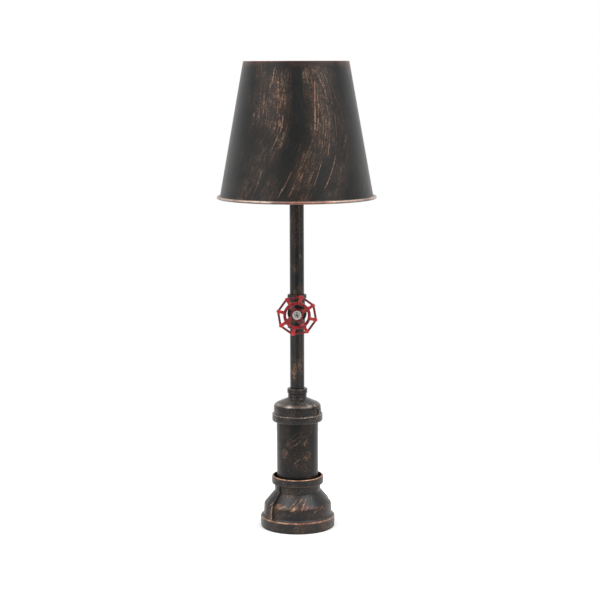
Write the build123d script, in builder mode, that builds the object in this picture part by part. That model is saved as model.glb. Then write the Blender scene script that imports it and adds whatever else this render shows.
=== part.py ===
"""Industrial pipe table lamp: ribbed cast fittings, a valve handwheel as the switch, a metal shade.

Millimetres. Z is up, the floor is Z = 0 under the centre of the lamp, and the handwheel faces -Y.
A turned piece is a half-section of (radius, height) corners revolved about Z, and a corner's third
number is its rounding. Azimuths are degrees from the front towards the right.
"""

import os
from math import atan, cos, sqrt

from build123d import *

# ---- Fits ----------------------------------------------------------------------------------------
slip_fit = 0.2  # radial room of a plain tube in its seat
thread_fit = 0.05  # radial room drawn between a screw thread and its hole
turn_fit = 0.08  # radial room of a shaft that turns in its bearing
move_gap = 0.3  # room between pieces that move past each other
merge = 1.0  # how far a shape reaches into the one it is fused with

# ---- Roundings -----------------------------------------------------------------------------------
fine_round = 0.5  # machined and pressed edges
corner_round = 0.8  # inside corners and small steps of the castings
cast_round = 1.6  # outside edges of the castings

# ---- Standard pipe and rod -----------------------------------------------------------------------
pipe_radius = 10.65  # half-inch pipe
pipe_wall = 2.0
rod_radius = 5.0  # hollow M10 lamp rod
rod_bore = 3.5
rod_chamfer = 0.7

# ---- Base reducer, three-inch to two-inch pattern ------------------------------------------------
foot_thickness = 1.0
foot_margin = 1.3  # the felt stops this far inside the band
band_radius = 56.2
band_top = 16.4
band_draft = 0.3
band_step = 3.2  # height of the slope from the band up to the wall
base_wall_radius = 50.8
wall_draft = 0.8
base_shoulder_height = 35.6
base_shoulder_round = 4.0
base_neck_radius = 34.6
flare_top = 55.0
mouth_bead_radius = 39.1
mouth_bead_bottom = 67.0
mouth_bead_ramp = 1.8
mouth_top = 78.5
mouth_lip = 3.0  # thickness of the lip round the mouth
mouth_taper = 2.4  # height of the cone that leads the tube from the mouth into its seat
base_casting_wall = 4.6
tube_seat_height = 52.5
tube_seat_web = 3.0
tube_seat_land = 7.0  # how far the web reaches in under the tube
hollow_step = 1.5  # the hollow's top stands this far inside the tube's bore
rib_count = 2
base_rib_azimuth = -54.0
base_rib_foot_width = 17.0
base_rib_head_width = 6.0
base_rib_shoulder_radius = 53.4
base_rib_shoulder = 36.8
base_rib_shoulder_round = 4.0
base_rib_head_proud = 2.0
rib_edge_round = 1.0

# ---- Cover, weight and cord inlet ----------------------------------------------------------------
cover_thickness = 2.0
cover_land = 5.8  # width of the ledge that the cover is screwed to
cover_screw_count = 3
cover_screw_radius = 1.5
cover_screw_length = 7.0
cover_screw_head_radius = 2.8
weight_height = 25.6
weight_round = 1.5
inlet_height = 9.2
inlet_bore = 3.3
grommet_wall = 1.4
grommet_flange_radius = 6.6
grommet_flange = 1.4
grommet_tail = 1.0  # how far the grommet reaches into the hollow

# ---- Washers and nuts on the rod -----------------------------------------------------------------
washer_thickness = 2.0
washer_radius = 12.0
nut_flats = 17.0
nut_thickness = 8.0
thin_nut_flats = 14.0
thin_nut_thickness = 5.0
rod_foot = 2.0  # rod below its nut
rod_head = 1.5  # rod above the nut in the cap

# ---- Column tube and cap reducer, two-inch to half-inch pattern ----------------------------------
tube_radius = 31.2
tube_wall = 1.5
cap_band_bottom = 163.2
cap_band_top = 174.0
cap_band_step = 0.6
cap_band_radius = 38.0
cap_wall_radius = 35.5
cap_casting_wall = 4.0
cap_shoulder_height = 188.4
cap_shoulder_round = 7.0
cap_dome_height = 198.0
cap_neck_radius = 14.0
cap_neck_round = 2.0
cap_bead_radius = 15.1
cap_bead_bottom = 205.8
cap_bead_ramp = 1.0
cap_top = 212.7
cap_socket_depth = 15.0
cap_rib_azimuth = 66.0
cap_rib_width = 9.0
cap_rib_proud = 1.7
cap_rib_shoulder = 183.2
cap_rib_top = 188.8
pipe_seat_height = 199.0
pipe_seat_web = 3.5

# ---- Tee -----------------------------------------------------------------------------------------
tee_height = 330.0
tee_reach = 25.4
tee_body_radius = 12.0
tee_bore = 9.0
tee_crotch_round = 2.0
tee_bead_radius = 14.3
tee_bead_width = 5.9
tee_bead_round = 1.0
tee_socket_depth = 12.6
branch_socket_depth = 10.0

# ---- Rotary switch in the branch -----------------------------------------------------------------
bushing_flange_radius = 12.4
bushing_flange = 2.5
switch_radius = 8.5
switch_back = 2.0  # how far the switch body reaches behind the tee's axis
switch_collar_reach = 34.0
switch_round = 1.0
terminal_size = 2.4
terminal_offset = 4.0
locknut_flats = 14.0
locknut_thickness = 3.0
locknut_chamfer = 0.4
shaft_radius = 3.0
shaft_flat = 0.6  # depth of the flat that drives the handwheel
shaft_back = 1.0  # the shaft starts this far in front of the tee's axis
shaft_reach = 41.4

# ---- Handwheel -----------------------------------------------------------------------------------
wheel_lobes = 8
wheel_turn = 13.0  # degrees clockwise of the first lobe from the top, seen from the front
wheel_tip_radius = 30.0  # the rim's outline, before its corners are rounded
wheel_corner_round = 3.0
rim_width = 2.5
rim_thickness = 3.2
rim_edge_round = 0.9
rim_plane = 46.4  # middle of the rim, forward of the tee's axis
knuckle_radius = 2.6
knuckle_tip_radius = 30.6
spoke_waist_radius = 1.9
spoke_waist_at = 24.0  # distance of the spoke's waist from the wheel's axis
ring_inner_radius = 16.3
ring_outer_radius = 20.0
ring_thickness = 4.4
ring_plane = 45.6
wheel_edge_round = 1.0
arm_width = 6.2
arm_count = 4
arm_thickness = 4.4  # at the hub
arm_end_thickness = 2.6  # at the ring
hub_radius = 8.8
hub_back = 35.8
hub_front = 42.0
wheel_washer_radius = 6.75
wheel_washer_thickness = 0.9
washer_edge_round = 0.3
wheel_screw_radius = 1.5
wheel_screw_length = 9.0
wheel_screw_head_radius = 3.9
wheel_screw_head = 2.3
wheel_screw_round = 1.2
cross_length = 4.6  # cross recess in the screw's head
cross_width = 1.0
cross_depth = 1.2

# ---- Upper pipe and lamp holder ------------------------------------------------------------------
upper_pipe_top = 538.0
plug_depth = 12.0
plug_flange = 2.0
nipple_length = 26.0
nipple_nut_thickness = 3.0
cup_hub_radius = 8.0
cup_hub_height = 8.0
cup_floor_thickness = 1.3
cup_height = 22.0
cup_radius = 20.4
cup_sheet = 0.9
cup_flare = 5.0  # rise of the cup's underside from the hub to its wall
cup_bend = 4.0
holder_radius = 19.3
holder_height = 42.0
holder_lip = 3.0  # depth that the holder sits in the cup
holder_web = 1.5  # floor of the holder
holder_wire_hole = 6.0
holder_flange_radius = 22.0
holder_flange = 2.2
holder_flange_height = 13.0  # top of the flange above the cup's rim
lamp_cap_radius = 13.1  # E27 bulb cap
screw_shell_wall = 0.5
screw_shell_recess = 3.0  # depth of the shell below the holder's mouth
insulator_thickness = 6.0
terminal_post_radius = 2.0
terminal_drop = 3.0  # how far the terminal post hangs below the holder's floor
contact_rise = 3.0  # foot of the bulb above the insulator
tongue_sheet = 0.6
ring_nut_radius = 25.0
ring_nut_thickness = 6.0
ring_nut_notches = 12
ring_nut_notch = 1.6
ring_nut_notch_out = 0.6  # the notches' centres lie this far outside the nut

# ---- Shade ---------------------------------------------------------------------------------------
shade_top = 701.5
shade_top_radius = 78.2
shade_bottom = 503.4
shade_bottom_radius = 113.9
shade_sheet = 0.8
shade_edge_round = 0.4
hem_height = 6.0
curl_radius = 2.0
curl_centre_out = 3.0  # the curl's centre lies this far outside the cone's foot
curl_bite = 0.1  # how far the curl rises above the lip that carries it
lip_bend = 1.0  # where the cone turns out into the lip
spider_sheet = 1.6
spider_ring_width = 4.6
spider_arm_count = 3
spider_arm_width = 9.0
spider_tab = 13.0
spider_bend = 3.0

# ---- Bulb ----------------------------------------------------------------------------------------
bulb_length = 108.0
bulb_radius = 30.0
bulb_glass = 0.9
bulb_cap_height = 25.0
bulb_cap_wall = 0.5
bulb_cap_round = 1.0
bulb_contact_height = 2.6
bulb_contact_radius = 5.0
bulb_contact_round = 1.2
vitrite_height = 2.6  # glass insulator between the contact and the cap
vitrite_foot = 1.0  # the insulator's foot stands this far outside the contact
cement_gap = 0.1  # between the glass neck and the cap
neck_overlap = 8.0  # length of the glass neck inside the cap
neck_sweep = 1.2  # strength of the curve from the neck into the globe
filament_count = 4
filament_length = 32.0
filament_radius = 1.1
filament_circle = 7.0
filament_rise = 16.0  # foot of the filaments above the cap
plate_thickness = 0.6
mount_radius = 4.0
mount_rod_radius = 1.6
mount_skirt = 1.2  # height of the mount's edge where it joins the neck
mount_flare = 2.0  # height of the mount's flare above the cap
mount_flare_round = 3.0

# ---- Lead ----------------------------------------------------------------------------------------
lead_radius = 1.1
lead_bend = 6.0


# ---- Shared outlines -----------------------------------------------------------------------------
def half_section(*corners):
    """Draw a closed half-section in the sketch in use; a corner's third number is its rounding."""
    with BuildLine() as outline:
        Polyline(*[corner[:2] for corner in corners], close=True)
    make_face(outline.edges())
    for radius, height, *rounding in corners:
        if rounding:
            fillet(vertices().sort_by_distance((radius, height))[0], rounding[0])


def hexagon_radius(flats):
    """Corner radius of a hexagon from the width across its flats."""
    return flats / sqrt(3)


def forward(distance):
    """Plane square to the branch, this far in front of the tee's axis, X right and Y up."""
    return Plane(origin=(0, -distance, tee_height), x_dir=(1, 0, 0), z_dir=(0, -1, 0))


side = Plane.XZ  # half-sections: local X is the radius and local Y the height
front_angle = -90.0  # the front, seen from above, as an angle from X
rear_angle = 90.0
upright = (Align.CENTER, Align.CENTER, Align.MIN)
pipe_bore = pipe_radius - pipe_wall

# ---- Base ----------------------------------------------------------------------------------------
cover_bottom = foot_thickness
cover_top = cover_bottom + cover_thickness
hollow_radius = base_wall_radius - base_casting_wall
cover_radius = hollow_radius + cover_land
tube_seat_bore = tube_radius + slip_fit
web_bore = tube_radius - tube_seat_land
web_bottom = tube_seat_height - tube_seat_web
hollow_top_radius = tube_radius - tube_wall - hollow_step
hollow_shoulder = base_shoulder_height - base_casting_wall + merge
mouth_radius = mouth_bead_radius - mouth_lip
screw_circle = hollow_radius + cover_land / 2
inlet_plane = Plane(origin=(0, 0, inlet_height), x_dir=(-1, 0, 0), z_dir=(0, 1, 0))
spot_face_radius = grommet_flange_radius + move_gap
spot_face = sqrt(band_radius**2 - (spot_face_radius + move_gap) ** 2)

# one rib follows the wall, the flare and the neck, flush with the band at its foot
rib_head_radius = base_neck_radius + base_rib_head_proud
with BuildPart() as base_rib:
    with BuildSketch(side):
        half_section(
            (base_wall_radius - 2 * merge, band_top - cast_round - merge),
            (band_radius, band_top - cast_round - merge),
            (base_rib_shoulder_radius, base_rib_shoulder, base_rib_shoulder_round),
            (rib_head_radius, flare_top + base_rib_shoulder - base_shoulder_height, cast_round),
            (rib_head_radius, mouth_bead_bottom + merge),
            (base_neck_radius - merge, mouth_bead_bottom + merge),
            (base_neck_radius - merge, flare_top - merge),
            (base_wall_radius - 2 * merge, base_shoulder_height - 2 * merge),
        )
    extrude(amount=base_rib_foot_width / 2, both=True)
    # its width narrows from the band to the mouth
    with BuildSketch(Plane.YZ):
        Polygon(
            (-base_rib_foot_width / 2, band_top - cast_round - merge),
            (base_rib_foot_width / 2, band_top - cast_round - merge),
            (base_rib_head_width / 2, mouth_bead_bottom + merge),
            (-base_rib_head_width / 2, mouth_bead_bottom + merge),
            align=None,
        )
    extrude(amount=band_radius, mode=Mode.INTERSECT)
    flanks = base_rib.faces().sort_by(Axis.Y)
    outer_edges = (flanks[0].edges() + flanks[-1].edges()).filter_by(
        lambda edge: edge.center().X > base_wall_radius - merge
    )
    fillet(outer_edges, rib_edge_round)

with BuildPart() as base_reducer:
    with BuildSketch(side):
        half_section(
            (cover_radius + slip_fit, foot_thickness),
            (band_radius - band_draft, foot_thickness, fine_round),
            (band_radius, band_top, cast_round),
            (base_wall_radius + wall_draft, band_top + band_step, corner_round),
            (base_wall_radius, base_shoulder_height, base_shoulder_round),
            (base_neck_radius, flare_top, cast_round),
            (base_neck_radius, mouth_bead_bottom - mouth_bead_ramp, corner_round),
            (mouth_bead_radius, mouth_bead_bottom, cast_round),
            (mouth_bead_radius, mouth_top, cast_round),
            (mouth_radius, mouth_top, fine_round),
            (mouth_radius, mouth_bead_bottom),
            (tube_seat_bore, mouth_bead_bottom - mouth_taper),
            (tube_seat_bore, tube_seat_height),
            (web_bore, tube_seat_height),
            (web_bore, web_bottom),
            (hollow_top_radius, web_bottom),
            (hollow_radius, hollow_shoulder),
            (hollow_radius, cover_top),
            (cover_radius + slip_fit, cover_top),
        )
    revolve(axis=Axis.Z)
    with PolarLocations(0, rib_count, start_angle=base_rib_azimuth + front_angle):
        add(base_rib.part)
    # spot face and hole for the cord at the rear
    with BuildSketch(inlet_plane.offset(spot_face)):
        Circle(spot_face_radius)
    extrude(amount=band_radius, mode=Mode.SUBTRACT)
    with BuildSketch(inlet_plane):
        Circle(inlet_bore + grommet_wall)
    extrude(amount=band_radius, mode=Mode.SUBTRACT)
    # tapped holes for the cover's screws
    with Locations((0, 0, cover_top)):
        with PolarLocations(screw_circle, cover_screw_count, start_angle=front_angle):
            Cylinder(
                cover_screw_radius + thread_fit,
                cover_screw_length,
                align=upright,
                mode=Mode.SUBTRACT,
            )

with BuildPart() as foot_pad:
    with BuildSketch():
        Circle(band_radius - foot_margin)
    extrude(amount=foot_thickness)

cover_countersink = cover_screw_head_radius - cover_screw_radius
with BuildPart() as cover_plate:
    with BuildSketch(Plane.XY.offset(cover_bottom)):
        Circle(cover_radius)
    extrude(amount=cover_thickness)
    with Locations((0, 0, cover_bottom)):
        with PolarLocations(screw_circle, cover_screw_count, start_angle=front_angle):
            Cylinder(
                cover_screw_radius + slip_fit,
                cover_thickness,
                align=upright,
                mode=Mode.SUBTRACT,
            )
            Cone(
                cover_screw_head_radius + thread_fit,
                cover_screw_radius + slip_fit,
                cover_countersink,
                align=upright,
                mode=Mode.SUBTRACT,
            )

with BuildPart() as cover_screws:
    with Locations((0, 0, cover_bottom)):
        with PolarLocations(screw_circle, cover_screw_count, start_angle=front_angle):
            Cone(cover_screw_head_radius, cover_screw_radius, cover_countersink, align=upright)
            Cylinder(cover_screw_radius, cover_screw_length, align=upright)

with BuildPart() as cord_grommet:
    with BuildSketch(inlet_plane.offset(hollow_radius - grommet_tail)):
        Circle(inlet_bore + grommet_wall - thread_fit)
    extrude(amount=spot_face - hollow_radius + grommet_tail)
    with BuildSketch(inlet_plane.offset(spot_face)):
        Circle(grommet_flange_radius)
    extrude(amount=grommet_flange)
    fillet(cord_grommet.faces().sort_by(Axis.Y)[-1].edges(), fine_round)
    with BuildSketch(inlet_plane):
        Circle(inlet_bore)
    extrude(amount=2 * band_radius, mode=Mode.SUBTRACT)

# ---- Weight, clamp rod and its nuts --------------------------------------------------------------
weight_bottom = web_bottom - weight_height
washer_bottom = weight_bottom - washer_thickness
rod_bottom = washer_bottom - nut_thickness - rod_foot
rod_top = pipe_seat_height + thin_nut_thickness + rod_head

with BuildPart() as base_weight:
    with BuildSketch(side):
        half_section(
            (rod_radius + slip_fit, weight_bottom),
            (hollow_radius - move_gap, weight_bottom, weight_round),
            (hollow_radius - move_gap, hollow_shoulder - move_gap),
            (hollow_top_radius - move_gap, web_bottom),
            (rod_radius + slip_fit, web_bottom),
        )
    revolve(axis=Axis.Z)

with BuildPart() as clamp_rod:
    with BuildSketch(Plane.XY.offset(rod_bottom)):
        Circle(rod_radius)
        Circle(rod_bore, mode=Mode.SUBTRACT)
    extrude(amount=rod_top - rod_bottom)
    rod_ends = clamp_rod.edges().filter_by(GeomType.CIRCLE).sort_by(SortBy.RADIUS)[-2:]
    chamfer(rod_ends, rod_chamfer)

with BuildPart() as clamp_washer:
    with BuildSketch(Plane.XY.offset(washer_bottom)):
        Circle(washer_radius)
        Circle(rod_radius + slip_fit, mode=Mode.SUBTRACT)
    extrude(amount=washer_thickness)

with BuildPart() as clamp_nut:
    with BuildSketch(Plane.XY.offset(washer_bottom - nut_thickness)):
        RegularPolygon(hexagon_radius(nut_flats), 6)
        Circle(rod_radius + thread_fit, mode=Mode.SUBTRACT)
    extrude(amount=nut_thickness)

with BuildPart() as cap_nut:
    with BuildSketch(Plane.XY.offset(pipe_seat_height)):
        RegularPolygon(hexagon_radius(thin_nut_flats), 6)
        Circle(rod_radius + thread_fit, mode=Mode.SUBTRACT)
    extrude(amount=thin_nut_thickness)

# ---- Column tube and cap -------------------------------------------------------------------------
tube_top = cap_band_bottom + cap_socket_depth
cap_hollow_radius = tube_radius - tube_wall - merge
cap_hollow_shoulder = cap_shoulder_height - cap_casting_wall - merge
cap_neck_bore = cap_neck_radius - cap_casting_wall
web_underside = pipe_seat_height - pipe_seat_web

with BuildPart() as column_tube:
    with BuildSketch(Plane.XY.offset(tube_seat_height)):
        Circle(tube_radius)
        Circle(tube_radius - tube_wall, mode=Mode.SUBTRACT)
    extrude(amount=tube_top - tube_seat_height)

# one rib stands on the band and dies into the dome
with BuildPart() as cap_rib:
    with BuildSketch(side):
        half_section(
            (cap_wall_radius - 2 * merge, cap_band_top - merge),
            (cap_wall_radius + cap_rib_proud, cap_band_top - merge),
            (cap_wall_radius + cap_rib_proud, cap_rib_shoulder, cast_round),
            (cap_wall_radius - cap_casting_wall, cap_rib_top),
            (cap_wall_radius - 2 * merge, cap_rib_shoulder),
        )
    extrude(amount=cap_rib_width / 2, both=True)
    flanks = cap_rib.faces().sort_by(Axis.Y)
    outer_edges = (flanks[0].edges() + flanks[-1].edges()).filter_by(
        lambda edge: edge.center().X > cap_wall_radius
    )
    fillet(outer_edges, rib_edge_round)

with BuildPart() as cap_reducer:
    with BuildSketch(side):
        half_section(
            (tube_radius + slip_fit, cap_band_bottom),
            (cap_band_radius, cap_band_bottom, cast_round),
            (cap_band_radius, cap_band_top, corner_round),
            (cap_wall_radius, cap_band_top + cap_band_step, fine_round),
            (cap_wall_radius, cap_shoulder_height, cap_shoulder_round),
            (cap_neck_radius, cap_dome_height, cap_neck_round),
            (cap_neck_radius, cap_bead_bottom - cap_bead_ramp, fine_round),
            (cap_bead_radius, cap_bead_bottom, fine_round),
            (cap_bead_radius, cap_top, cast_round),
            (pipe_radius + slip_fit, cap_top),
            (pipe_radius + slip_fit, pipe_seat_height),
            (rod_radius + slip_fit, pipe_seat_height),
            (rod_radius + slip_fit, web_underside),
            (cap_neck_bore, web_underside),
            (cap_neck_bore, cap_dome_height - cap_casting_wall),
            (cap_hollow_radius, cap_hollow_shoulder, cap_casting_wall),
            (cap_hollow_radius, tube_top),
            (tube_radius + slip_fit, tube_top),
        )
    revolve(axis=Axis.Z)
    with PolarLocations(0, rib_count, start_angle=cap_rib_azimuth + front_angle):
        add(cap_rib.part)

# ---- Pipes ---------------------------------------------------------------------------------------
tee_bottom = tee_height - tee_reach
tee_seat_low = tee_bottom + tee_socket_depth
tee_seat_high = tee_height + tee_reach - tee_socket_depth

with BuildPart() as lower_pipe:
    with BuildSketch(Plane.XY.offset(pipe_seat_height)):
        Circle(pipe_radius)
        Circle(pipe_bore, mode=Mode.SUBTRACT)
    extrude(amount=tee_seat_low - pipe_seat_height)

with BuildPart() as upper_pipe:
    with BuildSketch(Plane.XY.offset(tee_seat_high)):
        Circle(pipe_radius)
        Circle(pipe_bore, mode=Mode.SUBTRACT)
    extrude(amount=upper_pipe_top - tee_seat_high)

# ---- Tee -----------------------------------------------------------------------------------------
branch_seat = tee_reach - branch_socket_depth
bead_planes = (
    Plane.XY.offset(tee_bottom),
    Plane.XY.offset(tee_height + tee_reach - tee_bead_width),
    forward(tee_reach - tee_bead_width),
)

with BuildPart() as tee_fitting:
    with BuildSketch(Plane.XY.offset(tee_bottom)):
        Circle(tee_body_radius)
    extrude(amount=2 * tee_reach)
    with BuildSketch(forward(0)):
        Circle(tee_body_radius)
    extrude(amount=tee_reach)
    crotch = tee_fitting.edges().filter_by(
        lambda edge: edge.geom_type not in (GeomType.CIRCLE, GeomType.LINE)
    )
    fillet(crotch, tee_crotch_round)
    for plane in bead_planes:
        with BuildSketch(plane):
            Circle(tee_bead_radius)
        extrude(amount=tee_bead_width)
    bead_edges = tee_fitting.edges().filter_by(GeomType.CIRCLE)
    fillet(bead_edges.filter_by(lambda edge: edge.radius == tee_bead_radius), tee_bead_round)
    for plane in (Plane.XY.offset(tee_bottom), Plane.XY.offset(tee_seat_high)):
        with BuildSketch(plane):
            Circle(pipe_radius + slip_fit)
        extrude(amount=tee_socket_depth, mode=Mode.SUBTRACT)
    with BuildSketch(forward(branch_seat)):
        Circle(pipe_radius + slip_fit)
    extrude(amount=branch_socket_depth, mode=Mode.SUBTRACT)
    with BuildSketch(Plane.XY.offset(tee_bottom)):
        Circle(tee_bore)
    extrude(amount=2 * tee_reach, mode=Mode.SUBTRACT)
    with BuildSketch(forward(0)):
        Circle(tee_bore)
    extrude(amount=tee_reach, mode=Mode.SUBTRACT)

with BuildPart() as branch_bushing:
    with BuildSketch(forward(branch_seat)):
        Circle(pipe_radius)
    extrude(amount=branch_socket_depth)
    with BuildSketch(forward(tee_reach)):
        Circle(bushing_flange_radius)
    extrude(amount=bushing_flange)
    fillet(branch_bushing.faces().sort_by(Axis.Y)[0].edges(), corner_round)
    with BuildSketch(forward(0)):
        Circle(rod_radius + thread_fit)
    extrude(amount=tee_reach + bushing_flange, mode=Mode.SUBTRACT)

# ---- Switch --------------------------------------------------------------------------------------
bushing_front = tee_reach + bushing_flange

with BuildPart() as switch_body:
    with BuildSketch(forward(-switch_back)):
        Circle(switch_radius)
    extrude(amount=switch_back + branch_seat)
    fillet(switch_body.faces().sort_by(Axis.Y)[-1].edges(), switch_round)
    with BuildSketch(forward(branch_seat)):
        Circle(rod_radius)
    extrude(amount=switch_collar_reach - branch_seat)
    with BuildSketch(forward(shaft_back - move_gap)):
        Circle(shaft_radius + turn_fit)
    extrude(amount=switch_collar_reach, mode=Mode.SUBTRACT)

with BuildPart() as switch_terminals:
    with BuildSketch(forward(-switch_back)):
        with Locations((0, terminal_offset), (0, -terminal_offset)):
            Rectangle(2 * terminal_size, terminal_size)
    extrude(amount=-terminal_size)

with BuildPart() as switch_locknut:
    with BuildSketch(forward(bushing_front)):
        RegularPolygon(hexagon_radius(locknut_flats), 6)
        Circle(rod_radius + thread_fit, mode=Mode.SUBTRACT)
    extrude(amount=locknut_thickness)
    chamfer(switch_locknut.faces().sort_by(Axis.Y)[0].outer_wire().edges(), locknut_chamfer)

with BuildPart() as switch_shaft:
    with BuildSketch(forward(shaft_back)):
        Circle(shaft_radius)
    extrude(amount=shaft_reach - shaft_back)
    with BuildSketch(forward(hub_back)):
        with Locations((0, shaft_radius)):
            Rectangle(4 * shaft_radius, 2 * shaft_flat)
    extrude(amount=shaft_reach, mode=Mode.SUBTRACT)
    with BuildSketch(forward(shaft_reach - wheel_screw_length)):
        Circle(wheel_screw_radius + thread_fit)
    extrude(amount=wheel_screw_length, mode=Mode.SUBTRACT)

# ---- Handwheel: eight-sided rim, eight knuckled spokes, ring, four dished arms and a hub -----------
lobe_step = 360 / wheel_lobes
first_lobe = 90 - wheel_turn
spoke_root = ring_outer_radius - 2 * merge
knuckle_centre = knuckle_tip_radius - knuckle_radius
arm_root = hub_radius - 2 * merge
arm_end = ring_inner_radius + merge
arm_end_back = ring_plane - arm_end_thickness / 2

# one spoke, turned about its own length: stout at the ring, waisted, with a knuckle at the rim
with BuildPart() as wheel_spoke:
    with BuildSketch():
        with BuildLine():
            Line((spoke_root, 0), (spoke_root, knuckle_radius))
            Spline(
                (spoke_root, knuckle_radius),
                (spoke_waist_at, spoke_waist_radius),
                (knuckle_centre, knuckle_radius),
                tangents=((1, 0), (1, 0)),
            )
            CenterArc((knuckle_centre, 0), knuckle_radius, 0, 90)
            Line((knuckle_tip_radius, 0), (spoke_root, 0))
        make_face()
    revolve(axis=Axis.X)

# one arm from the hub out and forward to the ring, drawn as (radius, reach)
with BuildPart() as wheel_arm:
    with BuildSketch(side):
        half_section(
            (arm_root, hub_front - merge - arm_thickness),
            (arm_end, arm_end_back),
            (arm_end, arm_end_back + arm_end_thickness),
            (arm_root, hub_front - merge),
        )
    extrude(amount=arm_width / 2, both=True)
    arm_edges = wheel_arm.edges().filter_by(Axis.Y, reverse=True).sort_by(SortBy.LENGTH)[-4:]
    fillet(arm_edges, wheel_edge_round)

with BuildPart() as handwheel:
    # eight-sided rim
    with BuildSketch(forward(rim_plane - rim_thickness / 2)) as rim_outline:
        RegularPolygon(wheel_tip_radius, wheel_lobes, rotation=first_lobe)
        fillet(rim_outline.vertices(), wheel_corner_round)
        offset(amount=-rim_width, mode=Mode.SUBTRACT)
    extrude(amount=rim_thickness)
    rim_edges = handwheel.edges().group_by(Axis.Y)
    fillet(rim_edges[0] + rim_edges[-1], rim_edge_round)
    # inner ring
    with BuildSketch(forward(ring_plane - ring_thickness / 2)):
        Circle(ring_outer_radius)
        Circle(ring_inner_radius, mode=Mode.SUBTRACT)
    ring = extrude(amount=ring_thickness)
    fillet(ring.edges().filter_by(GeomType.CIRCLE), wheel_edge_round)
    # hub, and the D-shaped hole that the shaft drives
    with BuildSketch(forward(hub_back)):
        Circle(hub_radius)
    hub = extrude(amount=hub_front - hub_back)
    fillet(hub.edges().filter_by(GeomType.CIRCLE), wheel_edge_round)
    with Locations(forward(0)):
        with PolarLocations(0, arm_count, start_angle=first_lobe - lobe_step):
            add(wheel_arm.part)
    with Locations(forward(rim_plane)):
        with PolarLocations(0, wheel_lobes, start_angle=first_lobe):
            add(wheel_spoke.part)
    with BuildSketch(forward(hub_back)):
        Circle(shaft_radius + thread_fit)
        with Locations((0, shaft_radius + thread_fit)):
            Rectangle(4 * shaft_radius, 2 * shaft_flat, mode=Mode.SUBTRACT)
    extrude(amount=hub_front, mode=Mode.SUBTRACT)

washer_front = hub_front + wheel_washer_thickness
with BuildPart() as wheel_washer:
    with BuildSketch(forward(hub_front)):
        Circle(wheel_washer_radius)
        Circle(wheel_screw_radius + slip_fit, mode=Mode.SUBTRACT)
    extrude(amount=wheel_washer_thickness)
    fillet(wheel_washer.faces().sort_by(Axis.Y)[0].outer_wire().edges(), washer_edge_round)

with BuildPart() as wheel_screw:
    with BuildSketch(forward(washer_front)):
        Circle(wheel_screw_head_radius)
    extrude(amount=wheel_screw_head)
    fillet(wheel_screw.faces().sort_by(Axis.Y)[0].edges(), wheel_screw_round)
    with BuildSketch(forward(washer_front)):
        Circle(wheel_screw_radius)
    extrude(amount=-wheel_screw_length)
    with BuildSketch(forward(washer_front + wheel_screw_head - cross_depth)):
        Rectangle(cross_length, cross_width)
        Rectangle(cross_width, cross_length)
    extrude(amount=wheel_screw_head, mode=Mode.SUBTRACT)

# ---- Pipe plug, nipple and lamp holder -----------------------------------------------------------
plug_bottom = upper_pipe_top - plug_depth
plug_top = upper_pipe_top + plug_flange
cup_floor = plug_top + cup_hub_height
cup_rim = plug_top + cup_height
cup_bore = cup_radius - cup_sheet
holder_bottom = cup_rim - holder_lip
holder_top = holder_bottom + holder_height
flange_top = cup_rim + holder_flange_height
flange_bottom = flange_top - holder_flange
shell_radius = lamp_cap_radius + move_gap + screw_shell_wall
shell_top = holder_top - screw_shell_recess
holder_floor = holder_bottom + holder_web
insulator_top = holder_floor + insulator_thickness
bulb_bottom = insulator_top + contact_rise

with BuildPart() as pipe_plug:
    with BuildSketch(side):
        half_section(
            (rod_radius + thread_fit, plug_bottom),
            (pipe_bore - thread_fit, plug_bottom),
            (pipe_bore - thread_fit, upper_pipe_top),
            (pipe_radius, upper_pipe_top),
            (pipe_radius, plug_top, fine_round),
            (rod_radius + thread_fit, plug_top),
        )
    revolve(axis=Axis.Z)

with BuildPart() as holder_nipple:
    with BuildSketch(Plane.XY.offset(plug_bottom)):
        Circle(rod_radius)
        Circle(rod_bore, mode=Mode.SUBTRACT)
    extrude(amount=nipple_length)

with BuildPart() as nipple_nut:
    with BuildSketch(Plane.XY.offset(cup_floor)):
        RegularPolygon(hexagon_radius(thin_nut_flats), 6)
        Circle(rod_radius + thread_fit, mode=Mode.SUBTRACT)
    extrude(amount=nipple_nut_thickness)

with BuildPart() as holder_cup:
    with BuildSketch(side):
        half_section(
            (rod_radius + thread_fit, plug_top),
            (cup_hub_radius, plug_top, fine_round),
            (cup_hub_radius, cup_floor - cup_floor_thickness, merge),
            (cup_radius, cup_floor + cup_flare, cup_bend),
            (cup_radius, cup_rim),
            (cup_bore, cup_rim),
            (cup_bore, cup_floor + cup_flare + cup_sheet, cup_bend - cup_sheet),
            (cup_hub_radius + merge, cup_floor),
            (rod_radius + thread_fit, cup_floor),
        )
    revolve(axis=Axis.Z)

with BuildPart() as lamp_holder:
    with BuildSketch(side):
        half_section(
            (holder_wire_hole, holder_bottom),
            (holder_radius, holder_bottom),
            (holder_radius, cup_rim),
            (cup_radius, cup_rim),
            (cup_radius, flange_bottom, fine_round),
            (holder_flange_radius, flange_bottom, fine_round),
            (holder_flange_radius, flange_top, fine_round),
            (holder_radius, flange_top),
            (holder_radius, holder_top, corner_round),
            (shell_radius + thread_fit, holder_top, corner_round),
            (shell_radius + thread_fit, holder_floor),
            (holder_wire_hole, holder_floor),
        )
    revolve(axis=Axis.Z)

with BuildPart() as holder_insulator:
    with BuildSketch(Plane.XY.offset(holder_floor)):
        Circle(shell_radius)
        Circle(terminal_post_radius + thread_fit, mode=Mode.SUBTRACT)
    extrude(amount=insulator_thickness)

with BuildPart() as screw_shell:
    with BuildSketch(Plane.XY.offset(insulator_top)):
        Circle(shell_radius)
        Circle(shell_radius - screw_shell_wall, mode=Mode.SUBTRACT)
    extrude(amount=shell_top - insulator_top)

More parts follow.
